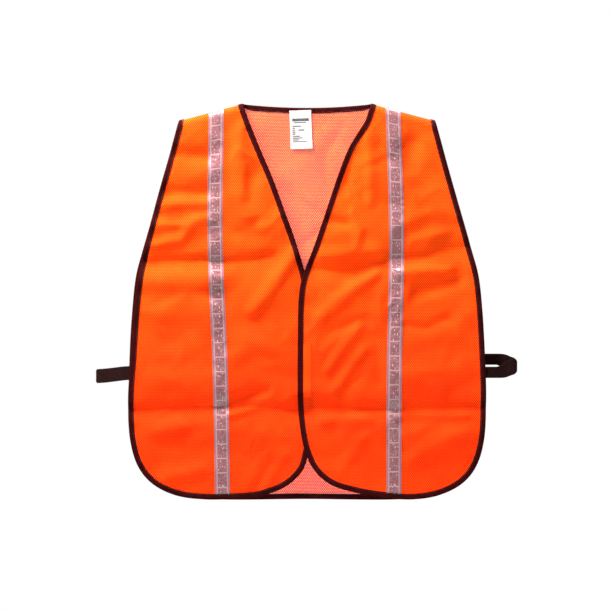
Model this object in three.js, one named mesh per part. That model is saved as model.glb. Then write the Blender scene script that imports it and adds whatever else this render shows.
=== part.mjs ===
// High visibility vest: a one-size, sleeveless mesh vest that closes down the front with hook and loop.
//
// Frame: millimetres, +Z up, the wearer's front faces -Y, and the wearer's left is +X.
// The origin is between the two neck points, where the shoulders carry the vest.
// The vest hangs flat: a back layer behind the origin, and a right and a left front layer before it,
// which bend back over the shoulder line. The left front lies over the right one at the centre.
// A point of the cloth is given by x, z, its layer, and its lift off the middle of the cloth.

import * as THREE from 'three';
import { mergeVertices } from 'three/addons/utils/BufferGeometryUtils.js';

// Outline
const NECK_HALF_WIDTH = 109;
const NECK_DIP = 6;
const SHOULDER_HALF_WIDTH = 218;
const SHOULDER_DROP = 29;
const SHOULDER_MIDDLE_X = 163;
const SHOULDER_TO_HEM = 672;
const HEM_CORNER_X = 150;        // where the bottom corners have run out into the hem
const NECKLINE_FADE = 330;       // how far down the back's rows of cloth take to turn level

// Layers and bends
const BACK_DEPTH = 9;            // distance of each layer from the shoulder line's plane, y = 0
const RIGHT_FRONT_DEPTH = 9;
const LEFT_FRONT_DEPTH = 14;
const SHOULDER_RADIUS = 12;      // how far below the shoulder line the cloth has turned flat
const SEAM_GAP = 0.2;            // half the gap between pieces that meet at the shoulder or at a fold

// Cloth and binding
const CLOTH_THICKNESS = 0.8;
const BINDING_WIDTH = 9.4;
const BINDING_OUTER = 1.3;       // half the thickness of the folded binding
const BINDING_INNER = 0.7;       // half the slot that the cloth lies in
const BINDING_FOLD = 0.6;        // thickness of the binding at its fold
const CLOTH_INSET = 1.6;         // from the binding's fold to the cut edge of the cloth
const FLAP_START = 5;            // the flap's cloth starts and ends where it is wide enough to hold
const FLAP_END = 6;

// Trim
const TAPE_WIDTH = 25.4;
const TAPE_THICKNESS = 0.5;
const TAPE_LIFT = 0.7;
const TAPE_END_GAP = 0.4;
const TAPE_HEM_RISE = 3;
const TAPE_PATHS = { right: [-154, -156, -147, -143.5], left: [146, 152, 148, 147.5] };
const ELASTIC_WIDTH = 25.4;
const ELASTIC_THICKNESS = 1;
const ELASTIC_START_X = 294;
const ELASTIC_STEPS = 40;
const SIDE_ELASTICS = [
  { hand: 'right', side: -1, frontDepth: RIGHT_FRONT_DEPTH, reach: 358.5, frontHeight: -457, backHeight: -457,
    tipHeight: -462.5, legWidth: ELASTIC_WIDTH },
  { hand: 'left', side: 1, frontDepth: LEFT_FRONT_DEPTH, reach: 357, frontHeight: -456, backHeight: -434,
    tipHeight: -445.5, legWidth: 21 },
];
const FASTENER = { width: 13, height: 91, thickness: 0.6, gap: 0.2, hookX: -4, loopX: 0.6, z: -452.5 };
const LABEL = { width: 37, height: 64, thickness: 0.3, x: -10.5, y: 7.2, top: -11, tilt: -2 };

// Steps along the edges: short ones round the shoulder's bend, then even ones
const EDGE_STEPS = 40;
const FRONT_STEPS = 46;
const TAPE_STEPS = 20;
const NECK_STEPS = 24;
const NECK_EDGE_STEPS = 12;
const BEND_STEPS = 6;

// Outer edge of the +X side, from the armhole point round the bottom corner to the hem
const OUTER_EDGE = [
  [SHOULDER_HALF_WIDTH, -SHOULDER_DROP], [234, -88], [257, -170], [280, -250], [291, -292], [297.5, -350],
  [302, -428], [304, -505], [299.5, -577], [285.5, -619], [262, -646], [222, -665.5], [175, -672],
];

// How far each layer's side edge is tucked inside that outline: amount by height, from the armhole point down
const TUCKS = {
  back_right: [[-29, 0], [-490, 0], [-550, 8]],
  back_left: [[-29, 0], [-290, 8]],
  front_right: [[-190, 0], [-300, 4.5], [-430, 3], [-500, 0]],
  front_left: [[-29, 0]],
};

// Front openings, from the top of the turn-back fold down the opening and round the bottom corner to the
// fold's end at the hem; and the hem from the outer edge's end to there
const RIGHT_OPENING = [
  [-98.4, -30], [-81, -73], [-58, -127], [-38, -182], [-18.5, -236.5], [0, -302], [5, -347], [11, -388],
  [12.3, -440], [12.3, -496], [9.7, -550], [3, -590], [-7, -622], [-35, -649.5], [-83, -667.5],
];
const RIGHT_HEM = [[-130, -671.5]];
const LEFT_OPENING = [
  [98.4, -30], [72, -73], [50.6, -127], [32, -183], [13.5, -237], [-9.5, -300], [-14.5, -335],
  [-15.7, -400], [-15.7, -500], [-12.5, -545], [-4, -588], [12, -622], [40, -646.5], [83, -660.5],
];
const LEFT_HEM = [[130, -668.5]];

const COLOURS = {
  mesh: { color: 0xff4a12, roughness: 0.7, metalness: 0 },
  binding: { color: 0x331415, roughness: 0.75, metalness: 0 },
  tape: { color: 0xb98a92, roughness: 0.2, metalness: 0 },
  elastic: { color: 0x17161a, roughness: 0.8, metalness: 0 },
  fastener: { color: 0xff7a10, roughness: 0.85, metalness: 0 },
  label: { color: 0xf2f2f2, roughness: 0.6, metalness: 0 },
};

const BACK = { depth: BACK_DEPTH, facing: 1 };
const RIGHT_FRONT = { depth: RIGHT_FRONT_DEPTH, facing: -1 };
const LEFT_FRONT = { depth: LEFT_FRONT_DEPTH, facing: -1 };

const vest = new THREE.Group();

// Turns a finished geometry into a named mesh with its faces pointing out.
function addPiece(name, look, geometry) {
  geometry.deleteAttribute('normal');
  geometry.deleteAttribute('uv');
  const merged = mergeVertices(geometry, 1e-4);
  if (signedVolume(merged) < 0) {
    flipFaces(merged);
  }
  merged.computeVertexNormals();
  const mesh = new THREE.Mesh(merged, new THREE.MeshStandardMaterial(COLOURS[look]));
  mesh.name = name;
  vest.add(mesh);
  return mesh;
}

function signedVolume(geometry) {
  const position = geometry.getAttribute('position');
  const index = geometry.getIndex();
  const corner = [new THREE.Vector3(), new THREE.Vector3(), new THREE.Vector3()];
  let volume = 0;
  for (let i = 0; i < index.count; i += 3) {
    corner.forEach((point, k) => point.fromBufferAttribute(position, index.getX(i + k)));
    volume += corner[0].dot(corner[1].clone().cross(corner[2])) / 6;
  }
  return volume;
}

function flipFaces(geometry) {
  const index = geometry.getIndex();
  for (let i = 0; i < index.count; i += 3) {
    const second = index.getX(i + 1);
    index.setX(i + 1, index.getX(i + 2));
    index.setX(i + 2, second);
  }
}

// Moves every vertex of a geometry to where place(x, y, z) says.
function reshape(geometry, place) {
  const position = geometry.getAttribute('position');
  for (let i = 0; i < position.count; i += 1) {
    const point = place(position.getX(i), position.getY(i), position.getZ(i));
    position.setXYZ(i, point.x, point.y, point.z);
  }
  return geometry;
}

const mix = THREE.MathUtils.lerp;
const smooth = THREE.MathUtils.smoothstep;

// The shoulder line of the +X side, from the neck point to the armhole point
const neckPoint = new THREE.Vector2(NECK_HALF_WIDTH, 0);
const shoulderPoint = new THREE.Vector2(SHOULDER_HALF_WIDTH, -SHOULDER_DROP);
const shoulderLength = neckPoint.distanceTo(shoulderPoint);
const shoulderOutward = shoulderPoint.clone().sub(neckPoint).normalize();
const shoulderDown = new THREE.Vector2(shoulderOutward.y, -shoulderOutward.x);

function shoulderHeight(x) {
  return -SHOULDER_DROP * (Math.abs(x) - NECK_HALF_WIDTH) / (SHOULDER_HALF_WIDTH - NECK_HALF_WIDTH);
}

// The point of a layer over x, z. The layer bends round the shoulder line as a quarter ellipse.
function onLayer(layer, x, z, lift) {
  const side = x < 0 ? -1 : 1;
  const fromNeck = new THREE.Vector2(Math.abs(x), z).sub(neckPoint);
  const along = THREE.MathUtils.clamp(fromNeck.dot(shoulderOutward), 0, shoulderLength);
  const foot = neckPoint.clone().addScaledVector(shoulderOutward, along);
  const away = fromNeck.clone().add(neckPoint).sub(foot);
  let distance = away.length();
  if (distance < 1e-6 || away.dot(shoulderDown) < 0) {
    distance = 0;
    away.copy(shoulderDown);
  }
  away.normalize();
  const leastTurn = Math.asin(SEAM_GAP / layer.depth);
  const turn = Math.max(Math.acos(1 - Math.min(distance / SHOULDER_RADIUS, 1)), leastTurn);
  const reach = Math.max(distance, SHOULDER_RADIUS * (1 - Math.cos(turn)));
  const normal = new THREE.Vector2(-Math.cos(turn) / SHOULDER_RADIUS, Math.sin(turn) / layer.depth);
  normal.normalize();
  const outward = reach + normal.x * lift;
  return new THREE.Vector3(
    side * (foot.x + away.x * outward),
    layer.facing * (layer.depth * Math.sin(turn) + normal.y * lift),
    foot.y + away.y * outward,
  );
}

// An edge of the vest, along the binding's fold. Its cross vectors run over the binding's width. The ones at
// the two ends can be set, so that the binding is cut along the shoulder line or along a turn-back fold.
class Edge {
  constructor(points, inwardTurn, crosses = {}) {
    const { startCross = null, endCross = null, startBlend = 14, endBlend = 14 } = crosses;
    this.curve = curveThrough(points);
    this.length = this.curve.getLength();
    this.inwardTurn = inwardTurn;
    this.ends = [
      { cross: startCross, blend: startBlend },
      { cross: endCross, blend: endBlend },
    ];
  }

  cross(s) {
    const tangent = this.curve.getTangentAt(s);
    const cross = new THREE.Vector2(tangent.y, -tangent.x).multiplyScalar(this.inwardTurn * BINDING_WIDTH);
    const distances = [s * this.length, (1 - s) * this.length];
    this.ends.forEach((end, i) => {
      if (end.cross && distances[i] < end.blend) {
        cross.lerp(end.cross, 1 - distances[i] / end.blend);
      }
    });
    return cross;
  }

  at(s, inset) {
    const share = THREE.MathUtils.clamp(s, 0, 1);
    const point = this.curve.getPointAt(share);
    return new THREE.Vector2(point.x, point.y).addScaledVector(this.cross(share), inset / BINDING_WIDTH);
  }
}

function curveThrough(points) {
  const places = points.map(([x, z]) => new THREE.Vector3(x, z, 0));
  const curve = new THREE.CatmullRomCurve3(places, false, 'centripetal');
  curve.arcLengthDivisions = 800;
  return curve;
}

// The points of a layer's side edge: the outline's, tucked in by amounts that ease from height to height.
function outerPoints(side, tucks) {
  const spans = tucks.slice(1).map(([low, amount], i) => {
    const [high, before] = tucks[i];
    return { low, high, more: amount - before };
  });
  return OUTER_EDGE.map(([x, z]) => {
    const tuck = spans.reduce((sum, { low, high, more }) => sum + more * (1 - smooth(z, low, high)), 0);
    return [side * (x - tuck), z];
  });
}

// Steps along an edge that starts at the shoulder line: even turns round the bend, then even lengths.
function stepsFromShoulder(length, steps) {
  return (share) => {
    const step = share * steps;
    if (step <= BEND_STEPS) {
      return bendReach(step) / length;
    }
    return mix(SHOULDER_RADIUS / length, 1, (step - BEND_STEPS) / (steps - BEND_STEPS));
  };
}

function bendReach(step) {
  return SHOULDER_RADIUS * (1 - Math.cos(step / BEND_STEPS * Math.PI / 2));
}

// The same from both ends of an edge that runs from shoulder line to shoulder line.
function stepsFromBothEnds(length, steps) {
  const half = stepsFromShoulder(length / 2, steps / 2);
  return (share) => (share < 0.5 ? half(2 * share) / 2 : 1 - half(2 - 2 * share) / 2);
}

const evenSteps = (share) => share;
const evenColumns = (count) => Array.from({ length: count + 1 }, (_, i) => i / count);

function sideways(vector, length, side) {
  return new THREE.Vector2(side * vector.x, vector.y).multiplyScalar(length);
}

// The folded binding: a U that holds the cut edge of the cloth. widthSteps divides its two walls.
function bindingGeometry(layer, edge, { steps, spacing, widthSteps = 1 }) {
  const wall = (lift, from, to) => evenColumns(widthSteps).map((share) => {
    return new THREE.Vector2(mix(from, to, share), lift);
  });
  const profile = new THREE.Shape([
    ...wall(BINDING_OUTER, BINDING_WIDTH, 0),
    ...wall(-BINDING_OUTER, 0, BINDING_WIDTH),
    ...wall(-BINDING_INNER, BINDING_WIDTH, BINDING_FOLD),
    ...wall(BINDING_INNER, BINDING_FOLD, BINDING_WIDTH),
  ]);
  const sweep = new THREE.ExtrudeGeometry(profile, { depth: 1, steps, bevelEnabled: false });
  return reshape(sweep, (inset, lift, share) => {
    const point = edge.at(spacing(share), inset);
    return onLayer(layer, point.x, point.y, lift);
  });
}

// A sheet between two sides, each a function of the row from 0 to 1. bulge(column, v) raises a point.
function sheetGeometry(layer, { first, second, rows, columns, lift, thickness, bulge = () => 0 }) {
  const grid = new THREE.BoxGeometry(1, 1, 1, columns.length - 1, 1, rows);
  return reshape(grid, (x, y, z) => {
    const column = Math.round((x + 0.5) * (columns.length - 1));
    const u = columns[column];
    const v = z + 0.5;
    const start = first(v);
    const end = second(v);
    const height = mix(start.y, end.y, u) + bulge(column, v);
    return onLayer(layer, mix(start.x, end.x, u), height, lift + y * thickness);
  });
}

// Back layer -------------------------------------------------------------------------------------------

function backSideEdge(side) {
  const points = outerPoints(side, side < 0 ? TUCKS.back_right : TUCKS.back_left);
  return new Edge(points, side, {
    startCross: sideways(shoulderOutward, -BINDING_WIDTH, side),
    endCross: new THREE.Vector2(0, BINDING_WIDTH),
  });
}

function backNeckEdge() {
  const points = [-1, -0.9, -0.6, -0.3, 0, 0.3, 0.6, 0.9, 1].map((share) => {
    return [share * NECK_HALF_WIDTH, -NECK_DIP * (1 - share ** 2)];
  });
  return new Edge(points, 1, {
    startCross: sideways(shoulderOutward, BINDING_WIDTH, -1),
    endCross: sideways(shoulderOutward, BINDING_WIDTH, 1),
  });
}

// The panel's columns start at its top edge: along the shoulder lines and the neckline between them.
function addBackPanel(rightEdge, leftEdge, neckEdge) {
  const halfWidth = SHOULDER_HALF_WIDTH - CLOTH_INSET;
  const shoulderTops = [halfWidth, SHOULDER_MIDDLE_X].map((x) => new THREE.Vector2(x, shoulderHeight(x)));
  const neckSteps = stepsFromBothEnds(neckEdge.length, NECK_STEPS);
  const neckTops = [0, 1, 2, 3, 4, 5, 6, 9].map((step) => {
    return neckEdge.at(1 - neckSteps(step / NECK_STEPS), CLOTH_INSET);
  });
  const halfTops = [...shoulderTops, ...neckTops];
  const tops = [
    ...halfTops.map((top) => new THREE.Vector2(-top.x, top.y)),
    neckEdge.at(0.5, CLOTH_INSET),
    ...halfTops.toReversed(),
  ];
  const spacing = stepsFromShoulder(leftEdge.length, EDGE_STEPS);
  const bulge = (column, v) => {
    const below = -SHOULDER_DROP - leftEdge.at(spacing(v), 0).y;
    return (tops[column].y - tops[0].y) * Math.max(0, 1 - below / NECKLINE_FADE) ** 2;
  };
  addPiece('back_panel', 'mesh', sheetGeometry(BACK, {
    first: (v) => rightEdge.at(spacing(v), CLOTH_INSET),
    second: (v) => leftEdge.at(spacing(v), CLOTH_INSET),
    rows: EDGE_STEPS,
    columns: tops.map((top) => (top.x / halfWidth + 1) / 2),
    lift: 0,
    thickness: CLOTH_THICKNESS,
    bulge,
  }));
}

function addBackHemBinding(rightEdge, leftEdge) {
  const right = rightEdge.at(1, 0);
  const left = leftEdge.at(1, 0);
  const points = [[left.x - SEAM_GAP, left.y], [0, left.y], [right.x + SEAM_GAP, right.y]];
  addPiece('back_hem_binding', 'binding', bindingGeometry(BACK, new Edge(points, 1), {
    steps: 4,
    spacing: evenSteps,
  }));
}

function addBack() {
  const rightEdge = backSideEdge(-1);
  const leftEdge = backSideEdge(1);
  const neckEdge = backNeckEdge();
  addBackPanel(rightEdge, leftEdge, neckEdge);
  const neckSteps = stepsFromBothEnds(neckEdge.length, NECK_STEPS);
  addPiece('back_neck_binding', 'binding', bindingGeometry(BACK, neckEdge, {
    steps: NECK_STEPS,
    spacing: neckSteps,
    widthSteps: 4,
  }));
  addBackHemBinding(rightEdge, leftEdge);
  const hands = [['right', rightEdge], ['left', leftEdge]];
  hands.forEach(([hand, edge]) => {
    const spacing = stepsFromShoulder(edge.length, EDGE_STEPS);
    const sweep = { steps: EDGE_STEPS, spacing };
    addPiece(`back_${hand}_side_binding`, 'binding', bindingGeometry(BACK, edge, sweep));
    addTape(`back_${hand}_reflective_tape`, BACK, TAPE_PATHS[hand], rightEdge.at(1, 0).y);
  });
}

// Reflective tapes: each front has one, which meets the back's tape at the shoulder line ----------------

function addTape(name, layer, path, hemHeight) {
  const end = hemHeight + BINDING_WIDTH + TAPE_END_GAP;
  const topX = path[0];
  const points = [[topX, shoulderHeight(topX)], [path[1], -230], [path[2], -462], [path[3], end]];
  const curve = curveThrough(points);
  const spacing = stepsFromShoulder(curve.getLength(), TAPE_STEPS);
  const edgeLine = (offset) => (v) => {
    const point = curve.getPointAt(spacing(v));
    const x = point.x + offset;
    const skew = (shoulderHeight(topX + offset) - shoulderHeight(topX)) * Math.max(0, 1 - 4 * spacing(v));
    return new THREE.Vector2(x, Math.max(point.y + skew, end));
  };
  addPiece(name, 'tape', sheetGeometry(layer, {
    first: edgeLine(-TAPE_WIDTH / 2),
    second: edgeLine(TAPE_WIDTH / 2),
    rows: TAPE_STEPS,
    columns: evenColumns(2),
    lift: TAPE_LIFT + TAPE_THICKNESS / 2,
    thickness: TAPE_THICKNESS,
  }));
}

// Front layers -----------------------------------------------------------------------------------------

// A front has a side part, which hangs from the shoulder line, and a flap, which turns back along the fold
// between them. The binding and the cloth are cut along that fold.
class Front {
  constructor(hand, layer, side, opening, hem) {
    Object.assign(this, { hand, layer, side });
    this.foldTop = new THREE.Vector2(...opening[0]);
    this.foldBottom = new THREE.Vector2(...opening.at(-1));
    this.foldDown = this.foldBottom.clone().sub(this.foldTop).normalize();
    const openingDown = new THREE.Vector2(...opening[1]).sub(this.foldTop).normalize();
    const slant = Math.abs(this.foldDown.cross(openingDown));
    const alongFold = this.foldDown.clone().multiplyScalar(BINDING_WIDTH / slant);
    const upFold = this.foldDown.clone().multiplyScalar(-BINDING_WIDTH);
    const onSidePart = (point) => [point.x + side * SEAM_GAP, point.y];
    const onFlap = (point) => [point.x - side * SEAM_GAP, point.y];

    const outer = outerPoints(side, TUCKS[`front_${hand}`]);
    this.outerEdge = new Edge([...outer, ...hem, onSidePart(this.foldBottom)], side, {
      startCross: sideways(shoulderOutward, -BINDING_WIDTH, side),
      endCross: upFold,
    });
    const neckCorner = [side * NECK_HALF_WIDTH, 0];
    const topEnd = onSidePart(this.foldTop);
    const topMiddle = [(neckCorner[0] + topEnd[0]) / 2, topEnd[1] / 2];
    this.topEdge = new Edge([neckCorner, topMiddle, topEnd], -side, {
      startCross: sideways(shoulderOutward, BINDING_WIDTH, side),
      endCross: alongFold,
      endBlend: 18,
    });
    const openingPoints = [onFlap(this.foldTop), ...opening.slice(1, -1), onFlap(this.foldBottom)];
    this.openingEdge = new Edge(openingPoints, -side, {
      startCross: alongFold,
      endCross: upFold,
      startBlend: alongFold.length(),
      endBlend: 20,
    });
  }

  addBindings() {
    const outerSteps = stepsFromShoulder(this.outerEdge.length, FRONT_STEPS);
    const topSteps = stepsFromShoulder(this.topEdge.length, NECK_EDGE_STEPS);
    const pieces = [
      ['side_binding', this.outerEdge, { steps: FRONT_STEPS, spacing: outerSteps }],
      ['neck_binding', this.topEdge, { steps: NECK_EDGE_STEPS, spacing: topSteps, widthSteps: 3 }],
      ['opening_binding', this.openingEdge, { steps: FRONT_STEPS, spacing: evenSteps }],
    ];
    pieces.forEach(([name, edge, sweep]) => {
      addPiece(`${this.hand}_${name}`, 'binding', bindingGeometry(this.layer, edge, sweep));
    });
  }

  // Down the short neck edge, and on down the fold
  innerSide(share) {
    const topLength = this.topEdge.length;
    const top = this.topEdge.at(1, CLOTH_INSET);
    const bottom = this.outerEdge.at(1, CLOTH_INSET);
    const reach = share * (topLength + top.distanceTo(bottom));
    if (reach < topLength) {
      return this.topEdge.at(reach / topLength, CLOTH_INSET);
    }
    return top.lerp(bottom, (reach - topLength) / top.distanceTo(bottom));
  }

  addSidePanel() {
    const hemShare = shareWhere(this.outerEdge, (point) => {
      return point.y < -640 && Math.abs(point.x) < HEM_CORNER_X;
    });
    const outerSteps = stepsFromShoulder(this.outerEdge.length * hemShare, EDGE_STEPS);
    const innerSteps = stepsFromShoulder(SHOULDER_TO_HEM, EDGE_STEPS);
    addPiece(`${this.hand}_front_side_panel`, 'mesh', sheetGeometry(this.layer, {
      first: (v) => this.innerSide(innerSteps(v)),
      second: (v) => this.outerEdge.at(outerSteps(v) * hemShare, CLOTH_INSET),
      rows: EDGE_STEPS,
      columns: evenColumns(6),
      lift: 0,
      thickness: CLOTH_THICKNESS,
    }));
  }

  addFlapPanel() {
    const start = FLAP_START / this.openingEdge.length;
    const end = 1 - FLAP_END / this.openingEdge.length;
    const openingSide = (v) => this.openingEdge.at(mix(start, end, v), CLOTH_INSET);
    const foldSide = (v) => {
      const height = openingSide(v).y;
      const share = (height - this.foldTop.y) / (this.foldBottom.y - this.foldTop.y);
      const x = mix(this.foldTop.x, this.foldBottom.x, share) - this.side * SEAM_GAP;
      return new THREE.Vector2(x, height);
    };
    addPiece(`${this.hand}_front_flap_panel`, 'mesh', sheetGeometry(this.layer, {
      first: foldSide,
      second: openingSide,
      rows: FRONT_STEPS,
      columns: evenColumns(2),
      lift: 0,
      thickness: CLOTH_THICKNESS,
    }));
  }

  build() {
    this.addSidePanel();
    this.addFlapPanel();
    this.addBindings();
    const tapePath = TAPE_PATHS[this.hand];
    const hemHeight = this.outerEdge.at(shareWhere(this.outerEdge, (point) => {
      return point.y < -640 && Math.abs(point.x) < Math.abs(tapePath[3]);
    }), 0).y;
    addTape(`${this.hand}_front_reflective_tape`, this.layer, tapePath, hemHeight + TAPE_HEM_RISE);
  }
}

function shareWhere(edge, isThere) {
  const samples = 2000;
  for (let i = 0; i <= samples; i += 1) {
    if (isThere(edge.curve.getPointAt(i / samples))) {
      return i / samples;
    }
  }
  return 1;
}

// Hook strip on the right flap's outer face, loop strip on the left flap's inner face
function addFasteners() {
  const strips = [
    ['hook_strip', RIGHT_FRONT, 1, FASTENER.hookX],
    ['loop_strip', LEFT_FRONT, -1, FASTENER.loopX],
  ];
  strips.forEach(([name, layer, face, x]) => {
    const middleLift = face * (CLOTH_THICKNESS / 2 + FASTENER.gap + FASTENER.thickness / 2);
    const strip = new THREE.BoxGeometry(FASTENER.width, FASTENER.thickness, FASTENER.height);
    strip.translate(x, layer.facing * (layer.depth + middleLift), FASTENER.z);
    addPiece(name, 'fastener', strip);
  });
}

// The label hangs inside the back neckline, from its top edge
function addLabel() {
  const label = new THREE.BoxGeometry(LABEL.width, LABEL.thickness, LABEL.height);
  label.rotateY(THREE.MathUtils.degToRad(LABEL.tilt));
  label.translate(LABEL.x, LABEL.y, LABEL.top - LABEL.height / 2);
  addPiece('neck_label', 'label', label);
}

// Side elastics: each is one band, folded in a loop that stands out sideways, from the front's side edge to
// the tip and back to the back's side edge
function addSideElastic({ hand, side, frontDepth, reach, frontHeight, backHeight, tipHeight, legWidth }) {
  const insideBinding = BINDING_OUTER + SEAM_GAP * 1.5 + ELASTIC_THICKNESS / 2;
  const frontY = -(frontDepth - insideBinding);
  const backY = BACK_DEPTH - insideBinding;
  const middleY = (frontY + backY) / 2;
  const along = (share) => mix(ELASTIC_START_X, reach, share);
  const stops = [
    [along(0), frontY], [along(0.3), frontY], [along(0.72), mix(middleY, frontY, 0.4)],
    [along(0.95), middleY - 1.7], [along(1), middleY], [along(0.95), middleY + 1.7],
    [along(0.72), mix(middleY, backY, 0.4)], [along(0.3), backY], [along(0), backY],
  ];
  const curve = curveThrough(stops);
  const band = new THREE.BoxGeometry(1, 1, 1, ELASTIC_STEPS, 1, 1);
  addPiece(`${hand}_side_elastic`, 'elastic', reshape(band, (x, y, z) => {
    const share = x + 0.5;
    const point = curve.getPointAt(share);
    const tangent = curve.getTangentAt(share);
    const outness = smooth(point.x, ELASTIC_START_X, reach);
    const legHeight = share < 0.5 ? frontHeight : backHeight;
    const width = mix(legWidth, ELASTIC_WIDTH, outness);
    const offset = y * ELASTIC_THICKNESS;
    return new THREE.Vector3(
      side * (point.x - tangent.y * offset),
      point.y + tangent.x * offset,
      mix(legHeight, tipHeight, outness) + z * width,
    );
  }));
}

addBack();
new Front('right', RIGHT_FRONT, -1, RIGHT_OPENING, RIGHT_HEM).build();
new Front('left', LEFT_FRONT, 1, LEFT_OPENING, LEFT_HEM).build();
addFasteners();
addLabel();
SIDE_ELASTICS.forEach(addSideElastic);

export default vest;
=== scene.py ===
"""High visibility vest: the cloth, binding, tapes, elastics, fastener and label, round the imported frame.

Frame: metres, +Z up, the wearer's front faces -Y, and the wearer's left is +X. The vest hangs flat: a back
layer behind the origin, and a right and a left front layer before it, which bend back over the shoulder line.
A point of the cloth is given by x, z, its layer, and its lift off the middle of the cloth.
"""

import math
from collections import namedtuple

import bmesh
import bpy
import numpy as np
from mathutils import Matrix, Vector

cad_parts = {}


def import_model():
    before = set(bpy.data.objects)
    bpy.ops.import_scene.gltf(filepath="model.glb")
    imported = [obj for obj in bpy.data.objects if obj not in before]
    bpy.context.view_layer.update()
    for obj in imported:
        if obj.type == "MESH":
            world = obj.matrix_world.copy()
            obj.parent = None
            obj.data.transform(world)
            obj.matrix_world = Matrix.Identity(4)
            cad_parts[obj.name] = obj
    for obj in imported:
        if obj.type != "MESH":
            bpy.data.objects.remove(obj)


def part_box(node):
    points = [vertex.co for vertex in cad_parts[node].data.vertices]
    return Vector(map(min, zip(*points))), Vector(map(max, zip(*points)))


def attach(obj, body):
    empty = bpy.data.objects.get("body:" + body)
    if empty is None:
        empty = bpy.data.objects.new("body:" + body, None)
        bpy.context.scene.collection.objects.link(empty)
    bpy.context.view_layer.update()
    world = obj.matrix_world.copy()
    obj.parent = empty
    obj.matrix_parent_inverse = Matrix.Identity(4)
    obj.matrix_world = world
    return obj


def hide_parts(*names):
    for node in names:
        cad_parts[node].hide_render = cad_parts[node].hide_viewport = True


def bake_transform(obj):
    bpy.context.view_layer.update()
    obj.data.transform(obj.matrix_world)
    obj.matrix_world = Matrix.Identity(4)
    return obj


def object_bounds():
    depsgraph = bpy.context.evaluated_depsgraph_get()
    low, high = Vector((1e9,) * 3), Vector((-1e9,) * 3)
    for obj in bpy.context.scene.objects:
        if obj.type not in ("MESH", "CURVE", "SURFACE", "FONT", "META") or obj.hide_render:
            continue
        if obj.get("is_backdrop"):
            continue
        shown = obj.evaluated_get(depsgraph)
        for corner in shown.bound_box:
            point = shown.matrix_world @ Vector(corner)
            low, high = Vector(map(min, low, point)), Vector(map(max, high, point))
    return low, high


MM = 0.001

# Outline, as the frame has it
NECK_HALF_WIDTH = 109 * MM
NECK_DIP = 6 * MM
SHOULDER_HALF_WIDTH = 218 * MM
SHOULDER_DROP = 29 * MM
HEM_HEIGHT = -672 * MM
SHOULDER_RADIUS = 12 * MM        # how far below the shoulder line the cloth has turned flat
NECKLINE_FADE = 330 * MM         # how far down the back's rows of cloth take to turn level

# Outer edge of the +X side, from the armhole point round the bottom corner to the hem, in millimetres
OUTER_EDGE = [
    (218, -29), (234, -88), (257, -170), (280, -250), (291, -292), (297.5, -350), (302, -428), (304, -505),
    (299.5, -577), (285.5, -619), (262, -646), (222, -665.5), (175, -672),
]

# How far each layer's side edge is tucked inside that outline: amount by height, in millimetres
TUCKS = {
    "back_right": [(-29, 0), (-490, 0), (-550, 8)],
    "back_left": [(-29, 0), (-290, 8)],
    "right_front": [(-190, 0), (-300, 4.5), (-430, 3), (-500, 0)],
    "left_front": [(-29, 0)],
}

# Front openings, from the neck point down the opening and round the bottom corner to the hem, in millimetres
RIGHT_OPENING = [
    (-109, 0), (-103.7, -15), (-98.4, -30), (-81, -73), (-58, -127), (-38, -182), (-18.5, -236.5), (0, -302),
    (5, -347), (11, -388), (12.3, -440), (12.3, -496), (9.7, -550), (3, -590), (-7, -622), (-35, -649.5),
    (-83, -667.5), (-130, -671.5),
]
LEFT_OPENING = [
    (109, 0), (103.7, -15), (98.4, -30), (72, -73), (50.6, -127), (32, -183), (13.5, -237), (-9.5, -300),
    (-14.5, -335), (-15.7, -400), (-15.7, -500), (-12.5, -545), (-4, -588), (12, -622), (40, -646.5),
    (83, -660.5), (130, -668.5),
]

# Cloth
BINDING_WIDTH = 9.4 * MM
BINDING_STEP = 3.2 * MM
CUT_FADE = 14 * MM               # how far from its end a binding takes to run square to its edge
CLOTH_INSET = 1.6 * MM           # from the binding's fold to the cut edge of the cloth
MESH_ACROSS = 3.5 * MM           # of the holes in a row; every second row is offset by half
MESH_DOWN = 4.8 * MM             # from a row to the second one below
BACK_STRETCH = 0.0033            # how much more drawn out the back's knit is
UV_WARP = 0.9 * MM               # how far the knit is drawn out of true
BACK_CLOSED = 0.62               # the knit's lattice is open above this: about 13% of the back
FRONT_CLOSED = 0.84              # and about 5% of the fronts
CLOTH_ROWS = 250
BEND_ROWS = 8                    # of them round the shoulder
FRONT_COLUMNS = 92
BACK_COLUMNS = 180

# Trim
TAPE_LIFT = 0.45 * MM            # its underside
TAPE_THICKNESS = 0.4 * MM
TAPE_UNDER_BINDING = 2 * MM
# The middle of each tape, the same on front and back, in millimetres: x at the shoulder, at two heights, and
# at the hem
TAPE_HEIGHTS = (-230, -462)
TAPE_PATHS = {"right": (-154, -156, -147, -143.5), "left": (146, 152, 148, 147.5)}
TAPE_STEP = 0.8 * MM
CELL_WIDTH = 15.6 * MM
CELL_PITCH = 24.6 * MM
CELL_GAP = 1.8 * MM
CELL_RAISE = 0.18 * MM
ELASTIC_THICKNESS = 1.1 * MM
ELASTIC_START_X = 288 * MM
ELASTIC_STEPS = 150
RIB_PITCH = 1.6 * MM
RIB_DEPTH = 0.14 * MM

MeshPiece = namedtuple("MeshPiece", "points faces uv")
Layer = namedtuple("Layer", "depth facing relief")


# Numbers and curves --------

def mix(a, b, share):
    return a + (b - a) * share


def smooth(value, low, high):
    """0 below low, 1 above high, and a smooth step between them."""
    t = np.clip((value - low) / (high - low), 0, 1)
    return t * t * (3 - 2 * t)


def mm(points):
    return np.array(points, float) * MM


def unit(vectors):
    length = np.linalg.norm(vectors, axis=-1, keepdims=True)
    return vectors / np.maximum(length, 1e-12)


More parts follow.
